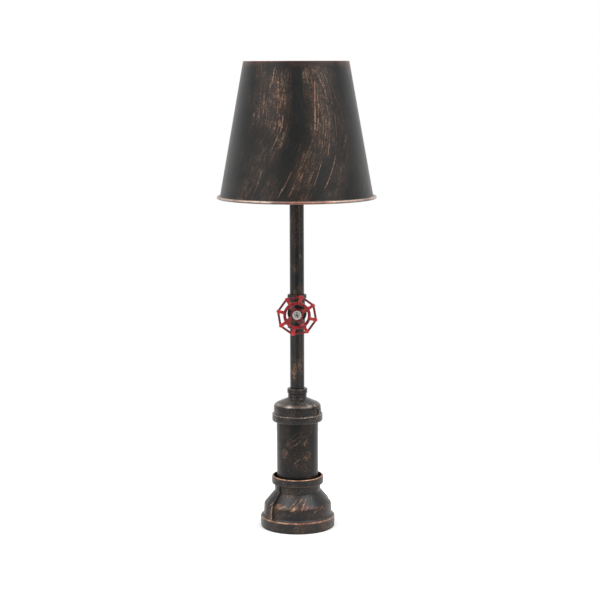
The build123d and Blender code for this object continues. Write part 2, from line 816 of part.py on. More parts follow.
# brass post through the insulator, with the sprung tongue that meets the bulb
tongue_top = bulb_bottom - move_gap
with BuildPart() as centre_contact:
    with BuildSketch(Plane.XY.offset(holder_floor - terminal_drop)):
        Circle(terminal_post_radius)
    extrude(amount=terminal_drop + insulator_thickness)
    with BuildSketch(side):
        half_section(
            (-terminal_post_radius, insulator_top),
            (bulb_contact_radius, insulator_top),
            (bulb_contact_radius, insulator_top + tongue_sheet, tongue_sheet / 2),
            (terminal_post_radius / 2, tongue_top, fine_round),
            (-terminal_post_radius, tongue_top, fine_round),
        )
    extrude(amount=terminal_post_radius / 2, both=True)

ring_bottom = flange_top + move_gap
nut_bottom = ring_bottom + spider_sheet + move_gap
with BuildPart() as shade_ring_nut:
    with BuildSketch(Plane.XY.offset(nut_bottom)):
        Circle(ring_nut_radius)
        with PolarLocations(ring_nut_radius + ring_nut_notch_out, ring_nut_notches):
            Circle(ring_nut_notch, mode=Mode.SUBTRACT)
        Circle(holder_radius + thread_fit, mode=Mode.SUBTRACT)
    extrude(amount=ring_nut_thickness)

# ---- Shade and its spider ------------------------------------------------------------------------
shade_slope = (shade_bottom_radius - shade_top_radius) / (shade_top - shade_bottom)
sheet_run = shade_sheet / cos(atan(shade_slope))  # sheet thickness measured along a radius
curl_height = shade_bottom - curl_radius + curl_bite
curl_centre = (shade_bottom_radius + curl_centre_out, curl_height)
lip_bottom = shade_bottom - shade_sheet
hem_bottom = shade_top - hem_height


def shade_outside(height):
    """Outer radius of the shade's cone at this height."""
    return shade_bottom_radius - (height - shade_bottom) * shade_slope


def shade_inside(height):
    """Inner radius of the shade's cone at this height."""
    return shade_outside(height) - sheet_run


with BuildPart() as shade_cone:
    with BuildSketch(side):
        half_section(
            (curl_centre[0], lip_bottom),
            (curl_centre[0], shade_bottom),
            (shade_bottom_radius, shade_bottom, lip_bend),
            (shade_top_radius, shade_top, shade_edge_round),
            (shade_top_radius - 2 * sheet_run, shade_top, shade_edge_round),
            (shade_inside(hem_bottom) - sheet_run, hem_bottom),
            (shade_inside(hem_bottom), hem_bottom),
            (shade_inside(lip_bottom), lip_bottom, lip_bend + shade_sheet),
        )
        with Locations(curl_centre):
            Circle(curl_radius)
            Circle(curl_radius - shade_sheet, mode=Mode.SUBTRACT)
    revolve(axis=Axis.Z)

with BuildPart() as rim_wire:
    with BuildSketch(side):
        with Locations(curl_centre):
            Circle(curl_radius - shade_sheet - thread_fit)
    revolve(axis=Axis.Z)

ring_inner = holder_radius + move_gap
tab_top = ring_bottom + spider_tab
with BuildPart() as spider_arm:
    with BuildSketch(side):
        half_section(
            (ring_inner + merge, ring_bottom),
            (shade_inside(ring_bottom), ring_bottom, spider_bend + spider_sheet),
            (shade_inside(tab_top) + merge, tab_top),
            (shade_inside(tab_top) - spider_sheet, tab_top),
            (shade_inside(ring_bottom) - spider_sheet, ring_bottom + spider_sheet, spider_bend),
            (ring_inner + merge, ring_bottom + spider_sheet),
        )
    extrude(amount=spider_arm_width / 2, both=True)

with BuildPart() as shade_spider:
    with BuildSketch(Plane.XY.offset(ring_bottom)):
        Circle(ring_inner + spider_ring_width)
    extrude(amount=spider_sheet)
    with PolarLocations(0, spider_arm_count, start_angle=rear_angle):
        add(spider_arm.part)
    with BuildSketch(Plane.XY.offset(ring_bottom)):
        Circle(ring_inner)
    extrude(amount=spider_sheet, mode=Mode.SUBTRACT)
    # the tabs follow the inside of the cone
    with BuildSketch(side):
        half_section(
            (0, ring_bottom),
            (shade_inside(ring_bottom) - thread_fit, ring_bottom),
            (shade_inside(tab_top) - thread_fit, tab_top),
            (0, tab_top),
        )
    revolve(axis=Axis.Z, mode=Mode.INTERSECT)

# ---- Bulb ----------------------------------------------------------------------------------------
vitrite_bottom = bulb_bottom + bulb_contact_height
bulb_cap_bottom = vitrite_bottom + vitrite_height
bulb_cap_top = bulb_cap_bottom + bulb_cap_height
bulb_cap_bore = lamp_cap_radius - bulb_cap_wall
globe_centre = bulb_bottom + bulb_length - bulb_radius
neck_radius = bulb_cap_bore - cement_gap
neck_bottom = bulb_cap_top - neck_overlap
neck_bore = neck_radius - bulb_glass
filament_bottom = bulb_cap_top + filament_rise
lower_plate = filament_bottom - plate_thickness
upper_plate = filament_bottom + filament_length

with BuildPart() as bulb_contact:
    with BuildSketch(Plane.XY.offset(bulb_bottom)):
        Circle(bulb_contact_radius)
    extrude(amount=bulb_contact_height)
    fillet(bulb_contact.faces().sort_by(Axis.Z)[0].edges(), bulb_contact_round)

with BuildPart() as bulb_vitrite:
    with BuildSketch(side):
        half_section(
            (0, vitrite_bottom),
            (bulb_contact_radius + vitrite_foot, vitrite_bottom),
            (bulb_cap_bore, bulb_cap_bottom),
            (0, bulb_cap_bottom),
        )
    revolve(axis=Axis.Z)

with BuildPart() as bulb_cap:
    with BuildSketch(side):
        half_section(
            (0, bulb_cap_bottom),
            (lamp_cap_radius, bulb_cap_bottom, bulb_cap_round),
            (lamp_cap_radius, bulb_cap_top),
            (bulb_cap_bore, bulb_cap_top),
            (bulb_cap_bore, bulb_cap_bottom + bulb_cap_wall),
            (0, bulb_cap_bottom + bulb_cap_wall),
        )
    revolve(axis=Axis.Z)


def envelope(depth):
    """Draw the globe's half-outline this far inside its surface, closed along the axis."""
    neck = neck_radius - depth
    globe = bulb_radius - depth
    with BuildLine() as outline:
        Line((0, neck_bottom), (neck, neck_bottom))
        Line((neck, neck_bottom), (neck, bulb_cap_top))
        Spline(
            (neck, bulb_cap_top),
            (globe, globe_centre),
            tangents=((0, 1), (0, 1)),
            tangent_scalars=(neck_sweep, neck_sweep),
        )
        CenterArc((0, globe_centre), globe, 0, 90)
        Line((0, globe_centre + globe), (0, neck_bottom))
    make_face(outline.edges())


with BuildPart() as bulb_globe:
    with BuildSketch(side):
        envelope(0)
    revolve(axis=Axis.Z)
    with BuildSketch(side):
        envelope(bulb_glass)
    revolve(axis=Axis.Z, mode=Mode.SUBTRACT)

# the glass mount, flared where it joins the neck, with a rod up the middle
with BuildPart() as bulb_mount:
    with BuildSketch(side):
        half_section(
            (0, neck_bottom),
            (neck_bore, neck_bottom),
            (neck_bore, neck_bottom + mount_skirt),
            (mount_radius, bulb_cap_top + mount_flare, mount_flare_round),
            (mount_radius, lower_plate),
            (0, lower_plate),
        )
    revolve(axis=Axis.Z)
    with BuildSketch(Plane.XY.offset(lower_plate)):
        Circle(mount_rod_radius)
    extrude(amount=upper_plate - lower_plate)

with BuildPart() as filament_plates:
    for height in (lower_plate, upper_plate):
        with BuildSketch(Plane.XY.offset(height)):
            Circle(filament_circle + filament_radius)
        extrude(amount=plate_thickness)
    with BuildSketch(Plane.XY.offset(lower_plate)):
        Circle(mount_rod_radius + thread_fit)
    extrude(amount=upper_plate - lower_plate, mode=Mode.SUBTRACT)

with BuildPart() as filaments:
    with BuildSketch(Plane.XY.offset(filament_bottom)):
        with PolarLocations(filament_circle, filament_count):
            Circle(filament_radius)
    extrude(amount=filament_length)

# ---- Lead from the switch up to the lamp holder --------------------------------------------------
lead_start = tee_height + terminal_offset + terminal_size / 2
lead_back = switch_back + terminal_size / 2
with BuildPart() as switch_lead:
    with BuildLine():
        FilletPolyline(
            (0, lead_back, lead_start),
            (0, lead_back, tee_seat_high + lead_bend),
            (0, 0, tee_seat_high + 3 * lead_bend),
            (0, 0, holder_floor - terminal_drop),
            radius=2 * lead_bend,
        )
    with BuildSketch(Plane((0, lead_back, lead_start))):
        Circle(lead_radius)
    sweep()

# ---- Write every piece to its own file -----------------------------------------------------------
pieces = {
    "foot_pad": foot_pad,
    "cover_plate": cover_plate,
    "cover_screws": cover_screws,
    "base_reducer": base_reducer,
    "cord_grommet": cord_grommet,
    "base_weight": base_weight,
    "clamp_rod": clamp_rod,
    "clamp_washer": clamp_washer,
    "clamp_nut": clamp_nut,
    "cap_nut": cap_nut,
    "column_tube": column_tube,
    "cap_reducer": cap_reducer,
    "lower_pipe": lower_pipe,
    "tee_fitting": tee_fitting,
    "branch_bushing": branch_bushing,
    "switch_body": switch_body,
    "switch_terminals": switch_terminals,
    "switch_locknut": switch_locknut,
    "switch_shaft": switch_shaft,
    "handwheel": handwheel,
    "wheel_washer": wheel_washer,
    "wheel_screw": wheel_screw,
    "upper_pipe": upper_pipe,
    "pipe_plug": pipe_plug,
    "holder_nipple": holder_nipple,
    "nipple_nut": nipple_nut,
    "holder_cup": holder_cup,
    "lamp_holder": lamp_holder,
    "holder_insulator": holder_insulator,
    "screw_shell": screw_shell,
    "centre_contact": centre_contact,
    "shade_ring_nut": shade_ring_nut,
    "shade_spider": shade_spider,
    "shade_cone": shade_cone,
    "rim_wire": rim_wire,
    "bulb_globe": bulb_globe,
    "bulb_cap": bulb_cap,
    "bulb_vitrite": bulb_vitrite,
    "bulb_contact": bulb_contact,
    "bulb_mount": bulb_mount,
    "filament_plates": filament_plates,
    "filaments": filaments,
    "switch_lead": switch_lead,
}
os.makedirs("parts", exist_ok=True)
for label, piece in pieces.items():
    piece.part.label = label
    export_step(piece.part, f"parts/{label}.step")
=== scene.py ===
"""Dresses the pipe table lamp: black paint dry-brushed with copper, a red enamelled handwheel, the lamp
holder and the bulb.

Metres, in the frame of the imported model: +Z up, the floor at Z = 0, the handwheel facing -Y. Turned
pieces share the lamp's axis, so their patterns are laid out by azimuth from the front towards the
right, by height, and by distance from the axis.
"""

from math import atan2, cos, pi, radians, sin, tan

import bpy
from mathutils import Matrix, Vector


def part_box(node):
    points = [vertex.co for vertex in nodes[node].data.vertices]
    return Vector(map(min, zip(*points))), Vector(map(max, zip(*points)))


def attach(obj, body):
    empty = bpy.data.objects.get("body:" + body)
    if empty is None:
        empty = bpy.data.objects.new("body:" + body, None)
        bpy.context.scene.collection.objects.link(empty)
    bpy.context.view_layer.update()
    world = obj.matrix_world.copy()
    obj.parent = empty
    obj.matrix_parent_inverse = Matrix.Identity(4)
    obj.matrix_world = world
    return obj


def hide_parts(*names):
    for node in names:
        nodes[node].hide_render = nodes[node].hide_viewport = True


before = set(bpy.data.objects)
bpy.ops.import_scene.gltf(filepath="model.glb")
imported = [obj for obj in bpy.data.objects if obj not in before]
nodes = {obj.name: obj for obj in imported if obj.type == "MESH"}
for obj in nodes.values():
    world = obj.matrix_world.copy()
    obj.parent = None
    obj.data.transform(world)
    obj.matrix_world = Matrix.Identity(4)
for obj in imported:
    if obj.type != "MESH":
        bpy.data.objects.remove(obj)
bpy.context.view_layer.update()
mm = 0.001

# ---- Where the camera stands ---------------------------------------------------------------------
camera_place = (4.5 * mm, -2433 * mm, 690.8 * mm)
camera_pitch = radians(81.95)  # from straight down
camera_roll = radians(-0.18)
camera_lens = 98.3

# ---- Handwheel, threads and the shade's seam -----------------------------------------------------
weld_distance = 0.001 * mm
wheel_voxel = 0.34 * mm
wheel_swell = 0.4 * mm  # gives back what smoothing takes away
thread_pitch = 3.63 * mm  # an E27 thread, seven to the inch
thread_sides = 96
thread_rows = 12  # in one turn of the thread
seam_sides = 480  # of the cone that the seam is cut from
seam_half_width = 4.5 * mm
seam_proud = 0.6 * mm
seam_sink = 0.1 * mm
seam_above_bottom = 2.0 * mm
seam_below_top = 1.2 * mm
seam_edge_round = 0.2 * mm

# ---- Floor, softboxes and sky --------------------------------------------------------------------
floor_radius = 650 * mm
floor_thickness = 4 * mm
floor_sides = 128
floor_white = (0.93, 0.93, 0.925, 1)
softbox_aim = Vector((0, 0, 200 * mm))
softbox_distance = 1500 * mm
softbox_azimuth = radians(68)
softbox_elevation = radians(60)
softbox_size = 800 * mm
softbox_watts = 15.0
sky_strength = 0.95
dark_front = 0.28  # the dim room behind the camera
dark_front_start = cos(radians(42))
dark_front_full = cos(radians(15))
dim_sides = 0.38  # how much darker the room is square to the camera's view
dim_sides_start = cos(radians(55))
dim_sides_full = cos(radians(82))

# ---- Lamp sizes that the patterns and the new pieces follow --------------------------------------
shade_low, shade_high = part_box("shade_cone")
shade_bottom = 503.4 * mm
shade_bottom_radius = 113.9 * mm
shade_top_radius = 78.2 * mm
shade_height = shade_high.z - shade_bottom
curl_radius = 2.0 * mm
curl_circle = shade_high.x - curl_radius
curl_height = shade_low.z + curl_radius
mouth_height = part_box("base_reducer")[1].z
mouth_radius = 39.1 * mm
band_radius = 56.2 * mm
band_height = 16.4 * mm
collar_height = mouth_height - 11 * mm
shoulder_radius = 50.4 * mm
shoulder_height = 35.6 * mm
rib_azimuth = radians(-54)
rib_foot_half = 8.5 * mm
rib_head_half = 3.2 * mm
rib_wall_slope = 0.13  # inwards for each millimetre up, on the wall and on the flare above it
rib_flare_slope = 0.87
rib_bend_radius = band_radius - 2.8 * mm
rib_bend_height = shoulder_height + 1.2 * mm
column_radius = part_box("column_tube")[1].x
cap_band_radius = 38.0 * mm
cap_band_height = 174.0 * mm
cap_shoulder_radius = 32.6 * mm
cap_shoulder_height = 189.6 * mm
cap_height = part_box("cap_reducer")[1].z
cap_neck_radius = 15.1 * mm
stem_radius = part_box("upper_pipe")[1].x
tee_height = 330 * mm
wheel_turn = radians(13)  # of the rim's corners from upright
wheel_lobes = 8


# ---- Working with shader nodes -------------------------------------------------------------------
class Wire:
    """A socket of a node tree. Python's operators on it add the Math nodes that work them out."""

    def __init__(self, graph, socket):
        self.graph = graph
        self.socket = socket

    def other(self, output):
        """Another output of the same node."""
        return Wire(self.graph, self.socket.node.outputs[output])

    def __add__(self, value):
        return self.graph.math("ADD", self, value)

    def __radd__(self, value):
        return self.graph.math("ADD", value, self)

    def __sub__(self, value):
        return self.graph.math("SUBTRACT", self, value)

    def __rsub__(self, value):
        return self.graph.math("SUBTRACT", value, self)

    def __mul__(self, value):
        return self.graph.math("MULTIPLY", self, value)

    def __rmul__(self, value):
        return self.graph.math("MULTIPLY", value, self)

    def __truediv__(self, value):
        return self.graph.math("DIVIDE", self, value)

    def __rtruediv__(self, value):
        return self.graph.math("DIVIDE", value, self)

    def __pow__(self, value):
        return self.graph.math("POWER", self, value)


class Graph:
    """A node tree that is built up by expressions."""

    def __init__(self, tree):
        self.tree = tree

    def feed(self, socket, value):
        if isinstance(value, Wire):
            self.tree.links.new(value.socket, socket)
        else:
            socket.default_value = value

    def node(self, kind, settings, inputs, output=0):
        """Add a node: its type, its settings, and the values or links of its sockets."""
        made = self.tree.nodes.new("ShaderNode" + kind)
        for setting, value in settings.items():
            setattr(made, setting, value)
        for socket, value in inputs.items():
            self.feed(made.inputs[socket], value)
        return Wire(self, made.outputs[output])

    def math(self, operation, *values):
        return self.node("Math", {"operation": operation}, dict(enumerate(values)))

    def most(self, first, second):
        return self.math("MAXIMUM", first, second)

    def rise(self, value, start, end):
        """0 at start, 1 at end, eased between them. End may be the lower one."""
        settings = {"interpolation_type": "SMOOTHSTEP"}
        return self.node("MapRange", settings, {"Value": value, "From Min": start, "From Max": end})

    def vector(self, x, y, z):
        return self.node("CombineXYZ", {}, {0: x, 1: y, 2: z})

    def noise(self, place, scale, detail=2.0, roughness=0.5):
        inputs = {"Vector": place, "Scale": scale, "Detail": detail, "Roughness": roughness}
        return self.node("TexNoise", {}, inputs)

    def blend(self, share, first, second):
        """A colour that goes from the first to the second."""
        return self.node("Mix", {"data_type": "RGBA"}, {0: share, 6: first, 7: second}, 2)


class Finish(Graph):
    """A material: a Principled shader, its constant sockets, and what varies over the surface."""

    def __init__(self, name, constants):
        self.material = bpy.data.materials.new(name)
        self.material.use_nodes = True
        super().__init__(self.material.node_tree)
        self.shader = self.tree.nodes["Principled BSDF"]
        self.drive(constants)
        self.place = self.node("TexCoord", {}, {}, "Object")
        self.x = self.node("SeparateXYZ", {}, {0: self.place})
        self.y = self.x.other("Y")
        self.z = self.x.other("Z")

    def drive(self, inputs):
        for socket, value in inputs.items():
            self.feed(self.shader.inputs[socket], value)

    def relief(self, height, depth):
        """Bump the surface by height, a value about 0 to 1 that stands for depth."""
        inputs = {"Height": height, "Distance": depth, "Strength": 1.0}
        self.drive({"Normal": self.node("Bump", {}, inputs)})

    def polar(self):
        """Azimuth from the front towards the right, and distance from the lamp's axis."""
        azimuth = self.math("ARCTAN2", self.x, 0 - self.y)
        distance = self.math("SQRT", self.x * self.x + self.y * self.y)
        return azimuth, distance


def dress(finish, *names):
    """Give CAD nodes a finish in place of the plain one that they were packed with."""
    for name in names:
        for place in nodes[name].material_slots:
            place.material = finish.material


# ---- Black paint brushed with copper -------------------------------------------------------------
paint_black = (0.0062, 0.0070, 0.0074, 1)
paint_lifted = (0.0175, 0.0165, 0.0155, 1)
paint_brown = (0.030, 0.0165, 0.0105, 1)
copper_bright = (0.84, 0.50, 0.30, 1)
copper_dull = (0.46, 0.19, 0.11, 1)
copper_red = (0.60, 0.18, 0.14, 1)
copper_pale = (0.74, 0.60, 0.52, 1)
casting_grain = (460, 0.35 * mm)  # how fine, per metre, and how deep
tube_grain = (1500, 0.06 * mm)
sheet_grain = (2200, 0.03 * mm)


class Paint(Finish):
    """Black paint over copper. Copper is gathered in self.bare and shown by close()."""

    def __init__(self, name, grain_scale, grain_depth, shine=0.30):
        super().__init__(name, {"Specular IOR Level": shine})
        self.azimuth, self.distance = self.polar()
        self.half_turn = self.math("WRAP", self.azimuth, pi / 2, -pi / 2)
        self.grain = self.noise(self.place, grain_scale, 3.0, 0.6)
        self.grain_depth = grain_depth
        self.breaks = self.noise(self.place, 420, 3.0, 0.65)
        self.clumps = self.rise(self.noise(self.place, 34, 2.0, 0.5), 0.38, 0.64)
        self.dots = self.rise(self.noise(self.place, 560, 2.0, 0.6), 0.46, 0.60)
        self.bare = None
        self.lift = 1.0  # how far the black is lifted towards grey; on the stem this paints highlights
        self.brown = 0.3  # how far it is stained brown
        self.red = 0.0  # how far the copper is reddened
        self.pale = 0.0  # how far it is paled

    def show(self, amount):
        """Let copper show by this much, on top of what shows already."""
        self.bare = amount if self.bare is None else self.most(self.bare, amount)

    def hairs(self, path, across, along, detail=2.0):
        """Brush hairs: noise that is fine across the brush's path and drawn out along it."""
        side = self.math("SINE", path) * across
        front = self.math("COSINE", path) * across
        return self.noise(self.vector(side, front, self.z * along), 1.0, detail, 0.55)

    def ring(self, radius, height, width):
        """1 on the circle of that radius and height, 0 from width away."""
        off_radius = self.distance - radius
        off_height = self.z - height
        gap = self.math("SQRT", off_radius * off_radius + off_height * off_height)
        return self.rise(gap, width, width * 0.35)

    def patch(self, azimuth, height, half_width, half_height):
        """1 in the middle of a patch, front and rear, and 0 from its ragged edge. Degrees and metres."""
        across = (self.half_turn - radians(azimuth)) * (1 / radians(half_width))
        up = (self.z - height) * (1 / half_height)
        return self.rise(across * across + up * up + (self.breaks - 0.5) * 2.0, 1.0, 0.0)

    def stroke(self, low_azimuth, low, high_azimuth, high, bow, half_width):
        """One brush stroke between two heights, front and rear, bowed to the right by bow degrees."""
        along = (self.z - low) * (1 / (high - low))
        arch = along * (1 - along)
        middle = along * radians(high_azimuth - low_azimuth) + arch * radians(4 * bow)
        off = self.math("ABSOLUTE", self.half_turn - middle - radians(low_azimuth))
        return self.rise(off, radians(half_width), 0.0) * self.rise(arch, 0.0, 0.16)

    def draw(self, strokes, unbroken):
        """Show a set of strokes, each with its density, where unbroken is not 0."""
        drawn = 0.0
        for *ends, density in strokes:
            drawn = self.most(drawn, self.stroke(*ends) * density)
        self.show(drawn * unbroken)

    def wear(self, mask, amount):
        """Worn through to copper where mask is, broken up by fine noise; amount 1 leaves no paint."""
        gaps = self.rise(self.breaks, 0.72 - amount * 0.55, 0.95 - amount * 0.55)
        self.show(mask * (gaps * 0.8 + 0.2) * (0.30 + amount * 0.4))

    def close(self, roughness):
        """Work out colour, gloss and relief from what has been gathered."""
        tone = self.rise(self.noise(self.place, 120, 2.0, 0.5), 0.38, 0.60)
        copper = self.blend(tone, copper_dull, copper_bright)
        copper = self.blend(self.red, copper, copper_red)
        copper = self.blend(self.pale, copper, copper_pale)
        # the black lifted towards grey as far as self.lift says; on the stem that paints highlights
        rubbed_and_highlit = (self.clumps * 0.3 + self.breaks * 0.7 - 0.1) * self.lift
        black = self.blend(rubbed_and_highlit, paint_black, paint_lifted)
        stain = self.rise(self.noise(self.place, 62, 4.0, 0.65), 0.46, 0.68)
        black = self.blend(stain * self.brown, black, paint_brown)
        self.drive(
            {
                "Base Color": self.blend(self.bare, black, copper),
                "Metallic": self.bare * 0.7,
                "Roughness": roughness + (self.grain - 0.5) * 0.2 + self.bare * 0.05,
            }
        )
        self.relief(self.grain + self.bare * 0.5, self.grain_depth)


def leaning_paint(name, radius, lean, grain, cover, patches=(), strokes=(), shine=0.30):
    """Paint on a round of about that radius, brushed to the right going up where lean is positive.

    The hairs are denser in the patches. A patch is as Paint.patch takes it and a stroke as Paint.stroke
    does, each with its density at the end."""
    paint = Paint(name, *grain, shine)
    path = paint.azimuth - paint.z * (tan(lean) / radius)
    coarse = paint.hairs(path, 560 * radius, 60)
    fine = paint.hairs(path, 1100 * radius, 110)
    dense = paint.clumps * cover
    for *spot, density in patches:
        dense = paint.most(dense, paint.patch(*spot) * density)
    level = 0.70 - dense * 0.22
    hairs = paint.rise(coarse, level, level + 0.08) * paint.rise(fine, 0.32, 0.54)
    paint.show(hairs * (0.08 + dense * 0.26))
    paint.show(dense * paint.dots * fine * 0.36)
    paint.draw(strokes, paint.rise(fine, 0.34, 0.50) * (paint.dots * 0.5 + 0.5))
    return paint


shade_streams = (
    # azimuth, half width, low and high end as shares of the shade's height, density
    (-17, 16, 0.50, 0.92, 1.0),
    (-14, 8, 0.28, 0.56, 0.7),
    (-24, 10, 0.04, 0.40, 0.35),
    (-34, 14, 0.50, 0.88, 0.7),
    (-38, 9, 0.84, 1.05, 0.6),
    (-30, 8, -0.05, 0.30, 0.5),
    (25, 18, 0.36, 1.05, 0.85),
    (42, 12, -0.05, 0.98, 0.36),
    (14, 11, -0.05, 0.42, 0.78),
    (-9, 7, -0.10, 0.16, 0.6),
)
shade_strokes = (
    # azimuth and share of the shade's height at the lower and the upper end, bow, half width, density
    (-14.5, 0.48, -12.3, 0.62, 1.2, 0.8, 0.60),
    (-22.5, 0.34, -14.6, 0.49, 0.6, 0.6, 0.42),
    (-33.0, 0.05, -28.0, 0.24, 0.8, 0.5, 0.36),
    (-17.0, 0.60, -19.5, 0.84, 1.0, 0.6, 0.34),
    (-25.0, 0.82, -21.8, 0.97, 0.0, 0.9, 0.60),
    (-22.0, 0.84, -19.6, 0.95, 0.0, 0.5, 0.40),
    (-15.0, 0.80, -9.0, 0.96, 0.0, 0.4, 0.28),
    (-11.4, 0.06, -3.2, 0.22, 0.0, 0.5, 0.50),
    (-13.8, 0.02, -10.0, 0.10, 0.0, 0.5, 0.40),
    (12.6, 0.10, 20.4, 0.29, 0.3, 0.5, 0.60),
    (20.0, 0.07, 33.8, 0.34, 1.2, 0.5, 0.60),
    (26.0, 0.32, 28.5, 0.42, 0.0, 0.5, 0.60),
    (5.5, 0.30, 17.0, 0.53, 1.5, 0.5, 0.20),
    (15.4, 0.46, 17.4, 0.74, 0.5, 1.0, 0.52),
    (18.6, 0.50, 20.6, 0.80, 0.6, 0.5, 0.48),
    (23.0, 0.46, 24.0, 0.70, 0.6, 0.4, 0.34),
    (29.0, 0.70, 10.6, 0.99, 5.5, 0.5, 0.42),
    (28.5, 0.68, 22.0, 0.97, 3.0, 0.5, 0.44),
    (35.2, 0.66, 27.0, 0.95, 2.4, 0.4, 0.34),
    (21.5, 0.76, 14.0, 0.98, 1.0, 0.4, 0.32),
    (36.5, 0.44, 37.0, 0.66, 0.0, 0.4, 0.30),
)
shade_red_stroke = (17.3, 0.69, 18.6, 0.87, 0.0, 1.1)


def on_cone(low_azimuth, low, high_azimuth, high, *rest):
    """A stroke with the heights of its ends in place of their shares of the shade's height."""
    low_height = shade_bottom + low * shade_height
    high_height = shade_bottom + high * shade_height
    return (low_azimuth, low_height, high_azimuth, high_height, *rest)


def shade_brushing(paint, up):
    """Long fine hairs that fall from the top edge, sweep to the left below, and gather in streams.

    Gives back how dense they are, the finest hairs, and the specks that break them."""
    upright = 0.55  # share of the height where the hairs stand upright
    below = paint.most(upright - up, 0.0) ** 1.3
    above = paint.most(up - upright, 0.0) ** 1.6
    sway = paint.noise(paint.place, 11, 1.0, 0.5) - 0.5
    right = paint.rise(paint.azimuth, -0.15, 0.30)
    path = paint.azimuth + below * 0.92 + above * right * 0.9 + sway * 0.10
    third = paint.math("WRAP", path - below * 0.40, pi / 3, -pi / 3)
    lines = paint.hairs(path, 74, 30, 0.0)
    crossing = paint.hairs(path + up * 0.14, 96, 52, 0.0)
    fine = paint.hairs(path, 200, 130)
    speck = paint.rise(paint.noise(paint.place, 430, 0.0, 0.5), 0.40, 0.56)

    dense = 0.0
    for middle, half_width, low, high, density in shade_streams:
        across = (third - radians(middle)) * (1 / radians(half_width))
        ends = paint.rise(up, low - 0.12, low + 0.10) * paint.rise(up, high + 0.12, high - 0.10)
        dense = paint.most(dense, paint.rise(across * across, 1.0, 0.0) * ends * density)
    dense = dense * (paint.clumps * 0.35 + 0.65)
    level = 0.70 - dense * 0.14
    broken = paint.rise(fine, 0.36, 0.52) * (speck * 0.7 + 0.3)
    bright = paint.clumps * 0.17 + 0.17
    paint.show(paint.rise(lines, level, level + 0.07) * broken * (dense * bright + 0.05))
    paint.show(paint.rise(crossing, level, level + 0.07) * broken * (dense * bright + 0.04))
    paint.show(dense * (paint.rise(fine, 0.40, 0.60) * speck * 0.7 + 0.3) * 0.075)
    return dense, fine, speck


def shade_marks(paint, fine, speck):
    """Single strokes over the brushing, and a broad red one, which it gives back."""
    strokes = [on_cone(*stroke) for stroke in shade_strokes]
    paint.draw(strokes, (speck * 0.6 + 0.3) * paint.rise(fine, 0.30, 0.48))
    red_mark = paint.stroke(*on_cone(*shade_red_stroke))
    paint.show(red_mark * (speck * 0.15 + 0.30))
    return red_mark


def shade_hem(paint):
    """The rolled bottom edge, copper on its upper half as wear and painted highlight. Gives back the edge
    and its redder stretch.
    """
    hem = paint.ring(curl_circle, curl_height, curl_radius * 1.9)
    worn = paint.rise(paint.noise(paint.place, 26, 2.0, 0.6), 0.36, 0.60)
    red = hem * paint.rise(paint.math("ABSOLUTE", paint.half_turn - radians(5)), 0.46, 0.28)
    # copper only on the curl's upper half: wear, and the painted highlight along its top
    top = paint.rise(paint.z, curl_height - 1.2 * mm, curl_height - 0.4 * mm)
    paint.show(hem * (worn * 0.36 + 0.32) * paint.most(top * 0.95 + 0.05, red * 0.85))
    return hem, red


def shade_paint():
    """The shade: brushed and streaked outside, plain black inside, and worn along both edges, whose pale
    lines also paint in highlights.
    """
    paint = Paint("shade_paint", *sheet_grain)
    up = (paint.z - shade_bottom) * (1 / shade_height)
    dense, fine, speck = shade_brushing(paint, up)
    red_mark = shade_marks(paint, fine, speck)
    top_edge = paint.rise(up, 0.945, 0.995)
    paint.show(top_edge * (paint.clumps * 0.6 + 0.2) * 0.10)

    # the sheet's inner face stays plain
    outer_face = shade_bottom_radius + (shade_top_radius - shade_bottom_radius) * up
    outside = paint.rise(paint.distance - outer_face, -0.55 * mm, -0.35 * mm)
    paint.bare = paint.bare * outside
    hem, hem_red = shade_hem(paint)
    # a pale line along the top lip: wear, and the painted highlight that the edge catches
    lip = paint.rise(paint.z, shade_high.z - 0.7 * mm, shade_high.z - 0.2 * mm)
    paint.show(lip * 0.45)

    paint.brown = dense * 0.85 + 0.05
    paint.lift = paint.rise(up, 0.55, 0.15) * 0.9 + 0.9
    paint.red = paint.most(paint.most(red_mark * 0.8, top_edge * 0.7), hem_red * 0.75)
    paint.pale = paint.most(0.15, hem * 0.85) - hem_red * 0.65
    paint.close(0.36)
    return paint


def rib_edges(paint):
    """1 along the outer edges of the base's rib, from the band up to where they fade on the flare."""
    out = paint.x * sin(rib_azimuth) - paint.y * cos(rib_azimuth)
    across = paint.math("ABSOLUTE", paint.x * cos(rib_azimuth) + paint.y * sin(rib_azimuth))
    climb = paint.z - band_height
    half = rib_foot_half - climb * ((rib_foot_half - rib_head_half) / (mouth_height - band_height))
    on_wall = band_radius - climb * rib_wall_slope
    on_flare = rib_bend_radius - (paint.z - rib_bend_height) * rib_flare_slope
    face = paint.math("MINIMUM", on_wall, on_flare)
    on_edge = paint.rise(paint.math("ABSOLUTE", across - half), 1.5 * mm, 0.5 * mm)
    outer = paint.rise(out - face, -2.6 * mm, -1.6 * mm)
    above_band = paint.rise(paint.z, band_height - 1.5 * mm, band_height)
    fading_up = paint.rise(paint.z, shoulder_height + 6.4 * mm, shoulder_height + 0.4 * mm)
    return on_edge * outer * above_band * fading_up


